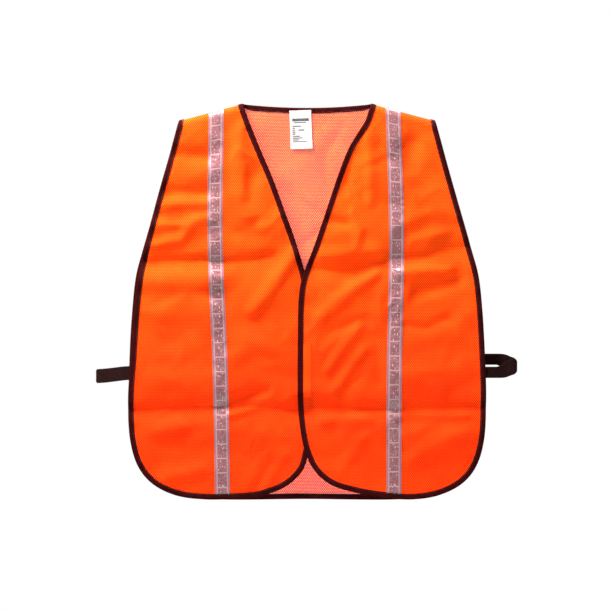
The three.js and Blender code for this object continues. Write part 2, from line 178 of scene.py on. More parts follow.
def crinkle(x, z, size, seed):
    """Smooth noise over the plane, about -1 to 1, with lumps of that size."""
    turns = np.random.default_rng(seed).uniform(0, 2 * np.pi, (64, 64))
    u = x / size
    v = z / size
    column = np.floor(u).astype(int)
    row = np.floor(v).astype(int)
    in_u = u - column
    in_v = v - row

    def corner(right, up):
        turn = turns[(column + right) % 64, (row + up) % 64]
        return np.cos(turn) * (in_u - right) + np.sin(turn) * (in_v - up)

    ease_u = in_u ** 3 * (in_u * (in_u * 6 - 15) + 10)
    ease_v = in_v ** 3 * (in_v * (in_v * 6 - 15) + 10)
    low = mix(corner(0, 0), corner(1, 0), ease_u)
    high = mix(corner(0, 1), corner(1, 1), ease_u)
    return 1.5 * mix(low, high, ease_v)


class Line:
    """A smooth line through points in the plane, by share of its length."""

    def __init__(self, points):
        self.points = smooth_line(np.array(points, float))
        steps = np.linalg.norm(np.diff(self.points, axis=0), axis=1)
        self.reach = np.concatenate([[0], np.cumsum(steps)])
        self.length = self.reach[-1]

    def at(self, share):
        where = np.clip(share, 0, 1) * self.length
        axes = [np.interp(where, self.reach, self.points[:, axis]) for axis in (0, 1)]
        return np.stack(axes, -1)

    def tangent(self, share):
        step = 1.5 * MM / self.length
        return unit(self.at(np.minimum(share + step, 1)) - self.at(np.maximum(share - step, 0)))


def smooth_line(points, per_span=48):
    """A centripetal Catmull-Rom line, the same as the frame's."""
    ends = [2 * points[0] - points[1], 2 * points[-1] - points[-2]]
    padded = np.vstack([ends[0], points, ends[1]])
    share = np.linspace(0, 1, per_span, endpoint=False)[:, None]
    spans = []
    for before, start, end, after in zip(padded, padded[1:], padded[2:], padded[3:]):
        times = [np.linalg.norm(b - a) ** 0.5 for a, b in ((before, start), (start, end), (end, after))]
        speed = (end - start) / times[1]
        leave = (start - before) / times[0] - (end - before) / (times[0] + times[1]) + speed
        arrive = speed - (after - start) / (times[1] + times[2]) + (after - end) / times[2]
        leave = leave * times[1]
        arrive = arrive * times[1]
        bend = -3 * start + 3 * end - 2 * leave - arrive
        twist = 2 * start - 2 * end + leave + arrive
        spans.append(start + leave * share + bend * share ** 2 + twist * share ** 3)
    return np.vstack([*spans, points[-1:]])


class Edge(Line):
    """An edge of the vest, along the binding's fold. Its cross vectors run over the binding's width, and
    those at its ends can be set, so that the binding is cut along the shoulder line."""

    def __init__(self, points, inward, start_cross=None, end_cross=None):
        super().__init__(points)
        self.inward = inward
        self.ends = (start_cross, end_cross)

    def cross(self, share):
        tangent = self.tangent(share)
        cross = np.stack([tangent[..., 1], -tangent[..., 0]], -1) * self.inward * BINDING_WIDTH
        reaches = (share * self.length, (1 - share) * self.length)
        for end_cross, reach in zip(self.ends, reaches):
            if end_cross is not None:
                weight = np.clip(1 - reach / CUT_FADE, 0, 1)[..., None]
                cross = mix(cross, end_cross, weight)
        return cross

    def inset(self, share, inset):
        return self.at(share) + self.cross(share) * (inset / BINDING_WIDTH)[..., None]


# Layers --------

NECK_POINT = np.array([NECK_HALF_WIDTH, 0])
SHOULDER_POINT = np.array([SHOULDER_HALF_WIDTH, -SHOULDER_DROP])
SHOULDER_LENGTH = float(np.linalg.norm(SHOULDER_POINT - NECK_POINT))
SHOULDER_OUTWARD = (SHOULDER_POINT - NECK_POINT) / SHOULDER_LENGTH
SHOULDER_DOWN = np.array([SHOULDER_OUTWARD[1], -SHOULDER_OUTWARD[0]])


def shoulder_height(x):
    return -SHOULDER_DROP * (np.abs(x) - NECK_HALF_WIDTH) / (SHOULDER_HALF_WIDTH - NECK_HALF_WIDTH)


def shoulder_cross(side):
    """A binding's width, outwards along the shoulder line."""
    return SHOULDER_OUTWARD * (side, 1) * BINDING_WIDTH


def from_shoulder(x, z):
    """The nearest point of the shoulder line, the way from it, and the distance below it."""
    place = np.stack([np.abs(x), z], -1)
    along = np.clip((place - NECK_POINT) @ SHOULDER_OUTWARD, 0, SHOULDER_LENGTH)
    foot = NECK_POINT + along[..., None] * SHOULDER_OUTWARD
    away = place - foot
    distance = np.linalg.norm(away, axis=-1)
    over = (distance < 1e-9) | (away @ SHOULDER_DOWN < 0)
    distance = np.where(over, 0, distance)
    away = np.where(over[..., None], SHOULDER_DOWN, unit(away))
    return foot, away, distance


def on_layer(layer, x, z, lift=0.0):
    """The points of a layer over x, z. The layer bends round the shoulder line as a quarter ellipse."""
    x, z, lift = np.broadcast_arrays(x, z, lift)
    foot, away, distance = from_shoulder(x, z)
    turn = np.arccos(1 - np.minimum(distance / SHOULDER_RADIUS, 1))
    normal = unit(np.stack([-np.cos(turn) / SHOULDER_RADIUS, np.sin(turn) / layer.depth], -1))
    total = lift + layer.relief(x, z) * smooth(distance, 4 * MM, 45 * MM)
    outward = distance + normal[..., 0] * total
    side = np.where(x < 0, -1, 1)
    return np.stack([
        side * (foot[..., 0] + away[..., 0] * outward),
        layer.facing * (layer.depth * np.sin(turn) + normal[..., 1] * total),
        foot[..., 1] + away[..., 1] * outward,
    ], -1)


def fold(x, z, path, height, above, below, sharp=2.0):
    """A fold along path, all in millimetres: it falls off over one width on its upper side, or its left
    where it runs up, and over another below."""
    place = np.stack([x, z], -1)
    best = np.full(np.shape(x), np.inf)
    side = np.zeros(np.shape(x))
    corners = mm(path)
    for start, end in zip(corners, corners[1:]):
        step = end - start
        share = np.clip((place - start) @ step / (step @ step), 0, 1)
        off = place - start - share[..., None] * step
        gap = np.linalg.norm(off, axis=-1)
        turn = (step[0] * off[..., 1] - step[1] * off[..., 0]) / np.maximum(gap * np.linalg.norm(step), 1e-12)
        closer = gap < best
        best = np.where(closer, gap, best)
        side = np.where(closer, turn, side)
    width = mix(below, above, (side + 1) / 2) * MM
    return height * MM * np.exp(-(best / width) ** sharp)


# Folds from packing, and soft drapes, in millimetres: path, height, width above, width below, and the
# sharpness where it isn't 2. FOLD_DEPTH multiplies the heights.
PACKING_FOLDS = [
    ([(-320, -266), (-190, -266), (-120, -268), (-62, -258)], -4.6, 8, 22, 1.2),
    ([(-320, -519), (-190, -517), (-110, -512), (0, -523)], -4.8, 9, 13, 1.2),
    ([(14, -278), (60, -284), (96, -281), (140, -264), (200, -260), (240, -246), (300, -240)],
     -4.4, 9, 18, 1.2),
    ([(10, -514), (80, -519), (140, -519), (320, -515)], -4.8, 10, 13, 1.2),
]
RIGHT_FOLDS = [
    ([(-290, -300), (-180, -302), (-140, -296)], 3.0, 20, 17),
    ([(-90, -352), (-58, -310), (-22, -258)], 3.4, 13, 9),
    ([(-265, -241), (-216, -232), (-190, -199), (-172, -194)], 2.0, 9, 9),
    ([(-260, -206), (-200, -206)], 1.6, 8, 8),
    ([(-250, -172), (-175, -170)], 1.6, 9, 9),
    ([(-235, -150), (-172, -153)], -1.6, 10, 8),
    ([(-230, -84), (-170, -90)], -2.2, 12, 14),
    ([(-112, -40), (-112, -150), (-100, -190)], 2.2, 11, 12),
    ([(-88, -120), (-98, -165)], -1.6, 10, 12),
    ([(-75, -212), (-48, -190)], 1.6, 9, 9),
    ([(-240, -352), (-205, -326), (-165, -345)], 1.8, 12, 30),
    ([(-262, -470), (-170, -468)], 2.4, 20, 22),
    ([(-136, -505), (-106, -498), (-70, -488)], -2.4, 9, 9),
    ([(-130, -528), (-84, -514), (-60, -516)], 1.8, 6, 7),
    ([(-265, -560), (-215, -548)], 1.8, 12, 14),
    ([(-240, -640), (-180, -622)], 2.4, 16, 18),
    ([(-100, -650), (-70, -590), (-76, -560)], 1.4, 12, 12),
    ([(-72, -655), (-40, -600)], 1.4, 9, 10),
    ([(-128, -440), (-100, -408), (-62, -420)], 1.4, 16, 18),
]
LEFT_FOLDS = [
    ([(30, -256), (118, -250)], 1.8, 12, 9),
    ([(24, -362), (70, -322), (116, -288)], 3.2, 12, 10),
    ([(24, -396), (52, -382), (98, -368)], -1.4, 10, 12),
    ([(188, -322), (220, -313), (252, -300)], -3.0, 11, 12),
    ([(168, -376), (200, -382), (236, -366)], -1.4, 8, 9),
    ([(160, -286), (240, -282)], 2.0, 8, 12),
    ([(107, -60), (107, -165)], 1.6, 10, 10),
    ([(80, -90), (60, -150)], -1.2, 9, 9),
    ([(76, -188), (90, -214), (84, -242)], 1.6, 7, 8),
    ([(38, -198), (66, -204)], -1.4, 9, 9),
    ([(36, -452), (62, -412), (88, -378)], 2.0, 9, 9),
    ([(48, -488), (80, -440), (96, -420)], 1.8, 9, 9),
    ([(172, -462), (230, -446), (285, -458)], 2.4, 26, 24),
    ([(120, -400), (124, -470)], -1.4, 10, 12),
    ([(165, -540), (275, -540)], -1.8, 8, 14),
    ([(184, -596), (230, -572), (262, -560)], 2.2, 14, 20),
    ([(30, -536), (100, -534)], 1.6, 9, 14),
    ([(60, -620), (96, -570)], 1.4, 12, 12),
    ([(172, -105), (180, -70)], -2.0, 14, 14),
    ([(175, -200), (215, -182), (250, -190)], 1.4, 12, 12),
    ([(180, -232), (240, -218)], 1.2, 9, 9),
]
BACK_FOLDS = [
    ([(-320, -262), (-100, -268), (40, -262), (320, -268)], -2.6, 14, 18, 1.2),
    ([(-320, -520), (-60, -514), (100, -522), (320, -516)], -2.8, 14, 16, 1.2),
    ([(-40, -145), (20, -185), (60, -205)], 1.2, 7, 9),
    ([(-70, -60), (-30, -120), (-10, -210)], 1.0, 9, 9),
    ([(60, -40), (30, -90), (36, -150)], 1.0, 8, 9),
    ([(-12, -240), (24, -215)], 1.0, 7, 8),
    ([(-60, -628), (-10, -640), (50, -632)], 1.2, 10, 10),
]
FOLD_DEPTH = 2.0
RELIEF_LIMIT = 8 * MM
LOWER_TILT = 0.05               # how far the cloth below the last crease leans in, per metre of drop
LOWER_TILT_START = -519 * MM
CALM_HEIGHT = -452 * MM         # of the middle of the sewn-in side elastics
CALM_SHARE = 0.85               # how much of the relief they hold down

# Drapes: seed, and the heights of wide lumps, small lumps, ridges and fine creases, in millimetres
FRONT_DRAPE = (11, (2.6, 1.6, 1.0, 0.18))
BACK_DRAPE = (31, (1.6, 1.0, 0.5, 0.12))


def drape(x, z, seed, amounts):
    """Soft lumps and small creases all over."""
    drawn_x = x + 14 * MM * crinkle(x, z, 70 * MM, seed + 5)
    drawn_z = z + 14 * MM * crinkle(x, z, 70 * MM, seed + 6)
    total = amounts[0] * crinkle(drawn_x, drawn_z * 1.5, 95 * MM, seed)
    total += amounts[1] * crinkle(drawn_x, drawn_z, 38 * MM, seed + 1)
    ridges = 1 - np.abs(crinkle(drawn_x, drawn_z, 30 * MM, seed + 2)) * 2
    total += amounts[2] * ridges * (0.5 + crinkle(x, z, 60 * MM, seed + 3))
    total += amounts[3] * crinkle(drawn_x, drawn_z, 11 * MM, seed + 4)
    return total * MM


def sum_folds(x, z, folds):
    return FOLD_DEPTH * sum(fold(x, z, *one) for one in folds)


def held_in(relief):
    """The same relief, flattened where it would reach past its limit."""
    return RELIEF_LIMIT * np.tanh(relief / RELIEF_LIMIT)


def calm(x, z):
    """Less relief where the side elastics are sewn in."""
    side = smooth(np.abs(x), 250 * MM, 290 * MM)
    band = smooth(np.abs(z - CALM_HEIGHT), 80 * MM, 35 * MM)
    return 1 - CALM_SHARE * side * band


def front_relief(x, z):
    lean = LOWER_TILT * np.minimum(z - LOWER_TILT_START, 0)
    folds = sum_folds(x, z, PACKING_FOLDS + RIGHT_FOLDS + LEFT_FOLDS)
    return held_in(folds + lean + drape(x, z, *FRONT_DRAPE)) * calm(x, z)


def back_relief(x, z):
    return held_in(sum_folds(x, z, BACK_FOLDS) + drape(x, z, *BACK_DRAPE)) * calm(x, z)


BACK = Layer(9 * MM, 1, back_relief)
FRONTS = {"right": Layer(9 * MM, -1, front_relief), "left": Layer(14 * MM, -1, front_relief)}
SIDES = {"right": -1, "left": 1}


# Meshes --------

def grid_faces(rows, columns, closed=False):
    """The quads between the rows of a grid of points, round each row too where it is a closed ring."""
    row = np.arange(rows - 1)[:, None] * columns
    column = np.arange(columns if closed else columns - 1)[None]
    following = (column + 1) % columns
    corners = [row + column, row + following, row + following + columns, row + column + columns]
    return np.stack(corners, -1).reshape(-1, 4)


def surface(grid, uv):
    """An open sheet through a grid of points."""
    rows, columns = grid.shape[:2]
    faces = grid_faces(rows, columns).tolist()
    return MeshPiece(grid.reshape(-1, 3), faces, uv.reshape(-1, 2))


def ring_faces(rows, columns):
    """The faces of a closed body through rings of points, with its two ends capped."""
    faces = grid_faces(rows, columns, closed=True).tolist()
    return [*faces, list(range(columns)), list(range((rows - 1) * columns, rows * columns))]


def sweep(rings, uv):
    """A closed body through rings of points."""
    return MeshPiece(rings.reshape(-1, 3), ring_faces(*rings.shape[:2]), uv.reshape(-1, 2))


def round_rings(top, under, step=1):
    """Rows across the top of a slab and back along its underside, which has one column to every step."""
    return np.concatenate([top, under[:, ::-step]], axis=1)


def joined(pieces):
    """Several meshes as one."""
    points = np.vstack([piece.points for piece in pieces])
    uv = np.vstack([piece.uv for piece in pieces])
    faces = []
    start = 0
    for piece in pieces:
        faces.extend([start + corner for corner in face] for face in piece.faces)
        start += len(piece.points)
    return MeshPiece(points, faces, uv)


def make_object(name, piece, material, closed=True, sharp=50):
    mesh = bpy.data.meshes.new(name)
    mesh.from_pydata(piece.points.tolist(), [], piece.faces)
    if closed:
        face_outwards(mesh)
    corners = np.empty(len(mesh.loops), int)
    mesh.loops.foreach_get("vertex_index", corners)
    mesh.uv_layers.new(name="UVMap").data.foreach_set("uv", piece.uv[corners].ravel())
    mesh.shade_smooth()
    mesh.set_sharp_from_angle(angle=math.radians(sharp))
    mesh.materials.append(material)
    item = bpy.data.objects.new(name, mesh)
    bpy.context.scene.collection.objects.link(item)
    return item


def face_outwards(mesh):
    work = bmesh.new()
    work.from_mesh(mesh)
    bmesh.ops.recalc_face_normals(work, faces=work.faces)
    work.to_mesh(mesh)
    work.free()


# Edges of the vest --------

def outer_points(side, layer_side):
    """A layer's side edge, from the armhole point down: the outline with the layer's tucks."""
    points = mm(OUTER_EDGE)
    tucks = TUCKS[layer_side]
    for (high, before), (low, amount) in zip(tucks, tucks[1:]):
        points[:, 0] -= (amount - before) * MM * (1 - smooth(points[:, 1], low * MM, high * MM))
    return points * (side, 1)


def front_edge(hand):
    """From the neck point down the opening, along the hem, and up the side to the armhole point."""
    side = SIDES[hand]
    opening = RIGHT_OPENING if hand == "right" else LEFT_OPENING
    return Edge(
        np.vstack([mm(opening), outer_points(side, f"{hand}_front")[::-1]]), -side,
        start_cross=shoulder_cross(side), end_cross=-shoulder_cross(side),
    )


def back_side_edge(hand):
    """From the armhole point down the side and round the corner to the hem."""
    side = SIDES[hand]
    return Edge(outer_points(side, f"back_{hand}"), side, start_cross=-shoulder_cross(side))


def back_outer_edge():
    """The same edge from armhole to armhole, along the hem between the corners."""
    right = outer_points(-1, "back_right")
    left = outer_points(1, "back_left")[::-1]
    return Edge(
        np.vstack([right, [[0, HEM_HEIGHT]], left]), -1,
        start_cross=-shoulder_cross(-1), end_cross=-shoulder_cross(1),
    )


def neckline_height(x):
    return -NECK_DIP * (1 - (x / NECK_HALF_WIDTH) ** 2)


def back_neck_edge():
    x = NECK_HALF_WIDTH * np.array([-1, -0.9, -0.6, -0.3, 0, 0.3, 0.6, 0.9, 1])
    points = np.stack([x, neckline_height(x)], -1)
    return Edge(
        points, 1,
        start_cross=shoulder_cross(-1), end_cross=shoulder_cross(1),
    )


def shoulder_steps(length, steps):
    """Distances from the shoulder line: even turns round the bend, then even lengths."""
    turns = np.linspace(0, np.pi / 2, BEND_ROWS, endpoint=False)
    bend = SHOULDER_RADIUS * (1 - np.cos(turns))
    return np.concatenate([bend, np.linspace(SHOULDER_RADIUS, length, steps - BEND_ROWS)])


# Cloth --------

def cloth_uv(x, z, shift=0.0, stretch=0.0):
    """The knit's own plane, in metres, drawn a little out of true."""
    u = x * (1 - stretch) + shift + UV_WARP * crinkle(x, z, 55 * MM, 51)
    v = (z + 340 * MM) * (1 - stretch) + UV_WARP * crinkle(x, z, 55 * MM, 52)
    return np.stack([u, v], -1)


def front_cloth(hand):
    """Rows from the opening's side to the outer side, from the shoulder line down to the hem."""
    edge = front_edge(hand)
    places = edge.points
    middle = edge.reach[np.argmin(places[:, 1] + 0.02 * np.abs(np.abs(places[:, 0]) - 0.13))] / edge.length
    gap = 18 * MM / edge.length
    inner = shoulder_steps((middle - gap) * edge.length, CLOTH_ROWS) / edge.length
    outer = 1 - shoulder_steps((1 - middle - gap) * edge.length, CLOTH_ROWS) / edge.length
    inset = np.full(CLOTH_ROWS, CLOTH_INSET)
    first = edge.inset(inner, inset)
    second = edge.inset(outer, inset)
    share = np.linspace(0, 1, FRONT_COLUMNS)[None, :, None]
    place = mix(first[:, None], second[:, None], share)
    x, z = np.moveaxis(place, -1, 0)
    return surface(on_layer(FRONTS[hand], x, z), cloth_uv(x, z))


def back_cloth():
    """Rows from side to side, from the shoulder lines and the neckline down to the hem."""
    edges = [back_side_edge(hand) for hand in ("right", "left")]
    steps = shoulder_steps(edges[0].length, CLOTH_ROWS) / edges[0].length
    inset = np.full(CLOTH_ROWS, CLOTH_INSET)
    first, second = (edge.inset(steps, inset) for edge in edges)
    share = np.linspace(0, 1, BACK_COLUMNS)
    place = mix(first[:, None], second[:, None], share[None, :, None])
    half_width = SHOULDER_HALF_WIDTH - CLOTH_INSET
    top_x = mix(-half_width, half_width, share)
    neckline = neckline_height(top_x) - CLOTH_INSET
    top_z = np.where(np.abs(top_x) < NECK_HALF_WIDTH, neckline, shoulder_height(top_x))
    drop = place[:, 0, 1] - place[0, 0, 1]
    fade = np.maximum(0, 1 + drop / NECKLINE_FADE) ** 2
    x = place[..., 0]
    z = place[..., 1] + (top_z - top_z[0])[None] * fade[:, None]
    z = np.maximum(z, HEM_HEIGHT + CLOTH_INSET)
    return surface(on_layer(BACK, x, z), cloth_uv(x, z, MESH_ACROSS / 2, BACK_STRETCH))


# Binding --------

# Half of the folded tape's section, from the inner edge of its outer wall to the fold: inset and lift in
# millimetres, with a hollow along the seam; and the slot that holds the cloth
BINDING_WALL = [
    (9.4, 0.66), (9.25, 0.92), (8.7, 1.0), (8.1, 0.94), (7.7, 0.84), (7.3, 0.95), (6, 1.14), (4.4, 1.22),
    (2.8, 1.2), (1.3, 1.04), (0.4, 0.66), (0.08, 0.3),
]
BINDING_SLOT = [(9.4, 0.34), (5, 0.34), (1.2, 0.3)]
SEAM_INSET = 7.7 * MM
SEAM_LIFT = 0.86 * MM


def binding(layer, edge):
    far = [(inset, -lift) for inset, lift in reversed(BINDING_WALL)]
    slot_far = [(inset, -lift) for inset, lift in BINDING_SLOT]
    profile = mm([*BINDING_WALL, (0, 0), *far, *slot_far, (0.8, 0), *reversed(BINDING_SLOT)])
    rows = np.linspace(0, 1, round(edge.length / BINDING_STEP))
    share, inset, lift = np.broadcast_arrays(rows[:, None], *profile.T)
    place = edge.inset(share, inset)
    rings = on_layer(layer, place[..., 0], place[..., 1], lift)
    return sweep(rings, np.stack([inset, share * edge.length], -1))


# Thread --------

THREAD_RADIUS = 0.21 * MM
STITCH_PITCH = 3.2 * MM
STITCH_LENGTH = 2.5 * MM
STITCH_SIDES = 5
# Along one stitch: share of its length, height over the cloth and thickness as shares of the thread's radius
STITCH_SHAPE = [(-0.5, -1.0, 0.6), (-0.34, 0.45, 1.0), (0.34, 0.45, 1.0), (0.5, -1.0, 0.6)]


def stitches(starts, ends, ups):
    """One thread body between each start and end, arched a little towards up."""
    count = len(starts)
    along = ends - starts
    middle = (starts + ends) / 2
    across = unit(np.cross(along, ups))
    shape = np.array(STITCH_SHAPE)
    turn = np.linspace(0, 2 * np.pi, STITCH_SIDES, endpoint=False)
    spine = middle[:, None] + along[:, None] * shape[None, :, :1]
    spine = spine + ups[:, None] * shape[None, :, 1:2] * THREAD_RADIUS
    ring = np.cos(turn)[:, None] * across[:, None, None] + np.sin(turn)[:, None] * ups[:, None, None]
    points = spine[:, :, None] + ring * (shape[:, 2] * THREAD_RADIUS)[None, :, None, None]
    faces = ring_faces(len(shape), STITCH_SIDES)
    size = len(shape) * STITCH_SIDES
    every = [[start + corner for corner in face] for start in range(0, count * size, size) for face in faces]
    points = points.reshape(-1, 3)
    return MeshPiece(points, every, points[:, ::2].copy())


def stitch_row(line, place_at):
    """A line of stitches. place_at gives points over the cloth, by share of the line and lift."""
    middles = (np.arange(int(line.length / STITCH_PITCH)) + 0.5) * STITCH_PITCH / line.length
    reach = STITCH_LENGTH / 2 / line.length
    starts, raised = (place_at(middles - reach, up) for up in (0, 1 * MM))
    return stitches(starts, place_at(middles + reach, 0), unit(raised - starts))


def seam(layer, edge):
    """The stitches through a binding, on both of its faces."""
    def face_row(face):
        def place_at(share, up):
            place = edge.inset(share, np.full(share.shape, SEAM_INSET))
            return on_layer(layer, place[:, 0], place[:, 1], face * (SEAM_LIFT + up))
        return stitch_row(edge, place_at)
    return joined([face_row(face) for face in (1, -1)])


# Reflective tapes --------

# The tape's columns of points, from its edge to beside its middle, in millimetres
TAPE_HALF = [12.7, 12.3, 11.2, 10.2, 9.2, 8.1, 7.5, 5.6, 3.7, 1.8]
TAPE_SEAM_OFFSET = 10.2 * MM


def tape_line(hand, hem_height):
    """The tape's middle, from the shoulder line down to under the hem's binding."""
    path = mm(TAPE_PATHS[hand])
    end = hem_height + BINDING_WIDTH - TAPE_UNDER_BINDING
    return Line(np.stack([path, [shoulder_height(path[0]), *mm(TAPE_HEIGHTS), end]], -1))


def tape_place(hand, line, share, offset):
    """The plane point beside the tape's middle. The top of the tape is cut along the shoulder line."""
    place = line.at(share)
    top = TAPE_PATHS[hand][0] * MM
    skew = (shoulder_height(top + offset) - shoulder_height(top)) * np.maximum(0, 1 - 4 * share)
    return place[..., 0] + offset, place[..., 1] + skew


def tape_crinkle(along, across, seed):
    """Small creases across the tape, where the stiff film has been bent over the folds of the cloth."""
    patches = smooth(crinkle(along, across * 0.4, 30 * MM, seed), -0.35, 0.5)
    wave = crinkle(along, across * 0.35, 3.4 * MM, seed + 1)
    fine = crinkle(along, across * 0.8, 1.9 * MM, seed + 2)
    return (0.22 * wave + 0.07 * fine) * MM * (0.25 + 0.75 * patches)


def tape(hand, hem_heights):
    """One strip from the back's hem over the shoulder to the front's hem, closed all round."""
    columns = mm([-x for x in TAPE_HALF] + [0] + TAPE_HALF[::-1])
    halves = []
    for layer, hem_height, direction in ((BACK, hem_heights[0], -1), (FRONTS[hand], hem_heights[1], 1)):
        line = tape_line(hand, hem_height)
        steps = shoulder_steps(line.length, round(line.length / TAPE_STEP))
        share, offset = np.broadcast_arrays((steps / line.length)[:, None], columns)
        along = share * line.length * direction
        x, z = tape_place(hand, line, share, offset)
        under = smooth(share * line.length, line.length - 6 * MM, line.length - 1 * MM)
        top = TAPE_LIFT + TAPE_THICKNESS + tape_height(along, offset)
        top = mix(top + tape_crinkle(along, offset, 71 + direction), 0.32 * MM, under)
        bottom = mix(TAPE_LIFT, 0.1 * MM, under)
        rings = round_rings(on_layer(layer, x, z, top), on_layer(layer, x, z, bottom), 10)
        uv = np.stack([offset, along], -1)
        halves.append((rings[::direction], round_rings(uv, uv, 10)[::direction]))
    rings = np.concatenate([halves[0][0], halves[1][0][1:]])
    uv = np.concatenate([halves[0][1], halves[1][1][1:]])
    return sweep(rings, uv)


def tape_height(along, offset):
    """The cells stand up off the film, and the seam pulls it down."""
    in_cell = np.abs((along / CELL_PITCH) % 1 - 0.5) * CELL_PITCH
    end = smooth((CELL_PITCH - CELL_GAP) / 2 - in_cell, -0.3 * MM, 0.7 * MM)
    edge = smooth(CELL_WIDTH / 2 - np.abs(offset), -0.4 * MM, 0.4 * MM)
    pull = np.exp(-((np.abs(offset) - TAPE_SEAM_OFFSET) / (0.7 * MM)) ** 2)
    return CELL_RAISE * end * edge - 0.12 * MM * pull


def tape_seams(hand, hem_heights):
    """The two lines of stitches down each half of the tape."""
    def half_row(layer, hem_height, offset):
        line = tape_line(hand, hem_height)

        def place_at(share, up):
            x, z = tape_place(hand, line, share, np.full(share.shape, offset))
            return on_layer(layer, x, z, TAPE_LIFT + TAPE_THICKNESS + up)
        return stitch_row(line, place_at)
    halves = zip((BACK, FRONTS[hand]), hem_heights)
    offsets = (-TAPE_SEAM_OFFSET, TAPE_SEAM_OFFSET)
    return joined([half_row(*half, offset) for half in halves for offset in offsets])


# Side elastics --------

# How far out each reaches, the heights of its two legs and its tip, where the legs start to run together, the
# legs' and the tip's widths, and the tip's corner radius, in millimetres
Elastic = namedtuple("Elastic", "reach front back tip bend_start leg_width tip_width corner")
ELASTICS = {
    "right": Elastic(*mm([358.5, -457, -457, -462.5, 294, 23.5, 24, 3.5])),
    "left": Elastic(*mm([357, -456, -434, -445.5, 321, 19.0, 27.5, 7])),
}


def side_elastic(hand):
    """One band folded in a loop, from the front's side edge out to the tip and on to the back's."""
    shape = ELASTICS[hand]
    inside = 1.3 * MM + 0.3 * MM + ELASTIC_THICKNESS / 2
    front_y = -(FRONTS[hand].depth - inside)
    back_y = BACK.depth - inside
    middle_y = (front_y + back_y) / 2
    gap = (back_y - front_y) / 2
    leg_stops = [(0, gap), (0.3, gap), (0.72, 0.4 * gap), (0.95, 1.7 * MM)]
    stops = [(share, -off) for share, off in leg_stops] + [(1, 0)] + leg_stops[::-1]
    line = Line([(mix(ELASTIC_START_X, shape.reach, share), middle_y + off) for share, off in stops])
    share = np.linspace(0, 1, ELASTIC_STEPS)
    middle = line.at(share)
    tangent = line.tangent(share)
    outness = smooth(middle[:, 0], shape.bend_start, shape.reach)
    leg = np.where(share < 0.5, shape.front, shape.back)
    height = mix(leg, shape.tip, outness)
    widening = smooth(middle[:, 0], shape.bend_start, shape.reach - 15 * MM)
    width = mix(shape.leg_width, shape.tip_width, widening)
    past_corner = np.maximum(middle[:, 0] - shape.reach + shape.corner, 0)
    width = width - 2 * (shape.corner - np.sqrt(np.maximum(shape.corner ** 2 - past_corner ** 2, 0)))
    ribs = round(shape.leg_width / RIB_PITCH) * 4
    over = np.linspace(-0.5, 0.5, ribs + 1)
    half = (ELASTIC_THICKNESS / 2 - RIB_DEPTH * (0.5 - 0.5 * np.cos(over * ribs / 4 * 2 * np.pi)))
    half = half * smooth(0.5 - np.abs(over), -0.01, 0.02)
    across = np.concatenate([over, over[::-1]])
    thick = np.concatenate([half, -half[::-1]])
    x = middle[:, :1] - tangent[:, 1:] * thick
    y = middle[:, 1:] + tangent[:, :1] * thick
    z = height[:, None] + width[:, None] * across
    rings = np.stack([SIDES[hand] * x, y, z], -1)
    u = np.broadcast_to(across * shape.leg_width, x.shape)
    v = np.broadcast_to((share * line.length)[:, None], x.shape)
    return sweep(rings, np.stack([u, v], -1))


# Label --------

LABEL_CURL = 2.2 * MM
LABEL_LEAN = 2.2 * MM              # how far its bottom hangs towards the wearer's left


def label_surface(u, v, lift):
    """A point of the label, by shares of its width and height from its top left corner."""
    low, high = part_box("neck_label")
    x = mix(low[0] + LABEL_LEAN / 2, high[0] - LABEL_LEAN / 2, u) + LABEL_LEAN * (v - 0.5)
    z = mix(high[2], low[2], v)
    lean = 1.3 * MM * (u - 0.5)
    cloth = on_layer(BACK, x, z)
    curl = LABEL_CURL * v ** 3 * (0.4 + u)
    return np.stack([x, cloth[..., 1] - 1.7 * MM - curl - lift, z + lean], -1)


def label_sheet(u_range, v_range, lift, thickness, columns=24, rows=40):
    """A closed thin slab over part of the label."""
    u, v = np.meshgrid(np.linspace(*u_range, columns), np.linspace(*v_range, rows))
    uv = np.stack([u, v], -1)
    rings = round_rings(label_surface(u, v, lift + thickness), label_surface(u, v, lift))
    return sweep(rings, round_rings(uv, uv))


def label_bars():
    """Generic grey bars where a label is printed: left, right, top and height as shares of the label."""
    bars = [(0.12, 0.88, 0.21, 0.075), (0.2, 0.75, 0.305, 0.024), (0.4, 0.66, 0.50, 0.03)]
    paragraphs = [(0.40, 0.05, (0.52, 0.24, 0.24, 0.24, 0.24)), (0.66, 0.048, (0.46, 0.58, 0.4, 0.78))]
    for first, pitch, ends in paragraphs:
        bars += [(0.12, end, first + pitch * line, 0.026) for line, end in enumerate(ends)]
    sheets = [label_sheet((left, right), (top, top + height), 0.32 * MM, 0.03 * MM, 8, 3)
              for left, right, top, height in bars]
    return joined(sheets)


# Fastener strips --------

PILE_SIZE = 1.3 * MM
PILE_SEED = 91


def strip_body(node, through):
    """A woven strip in the node's place, with its bound edges a little lower than its middle. Its yarn can
    come through to the front of the cloth that it is sewn to."""
    low, high = (np.array(corner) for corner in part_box(node))
    u, v = np.meshgrid(np.linspace(0, 1, 27), np.linspace(0, 1, 160))
    x = mix(low[0], high[0], u)
    z = mix(low[2], high[2], v)
    rim = np.minimum(np.minimum(u, 1 - u) * (high[0] - low[0]), np.minimum(v, 1 - v) * (high[2] - low[2]))
    pile = crinkle(x, z, PILE_SIZE, PILE_SEED)
    body = smooth(rim, 0, 0.5 * MM) * (high[1] - low[1]) / 2 * (0.8 + 0.2 * pile)
    middle = (low[1] + high[1]) / 2 - front_relief(x, z)
    top, under = (np.stack([x, y, z], -1) for y in (middle - body - through, middle + body))
    uv = np.stack([x, z], -1)
    return sweep(round_rings(top, under), round_rings(uv, uv))


# Materials --------

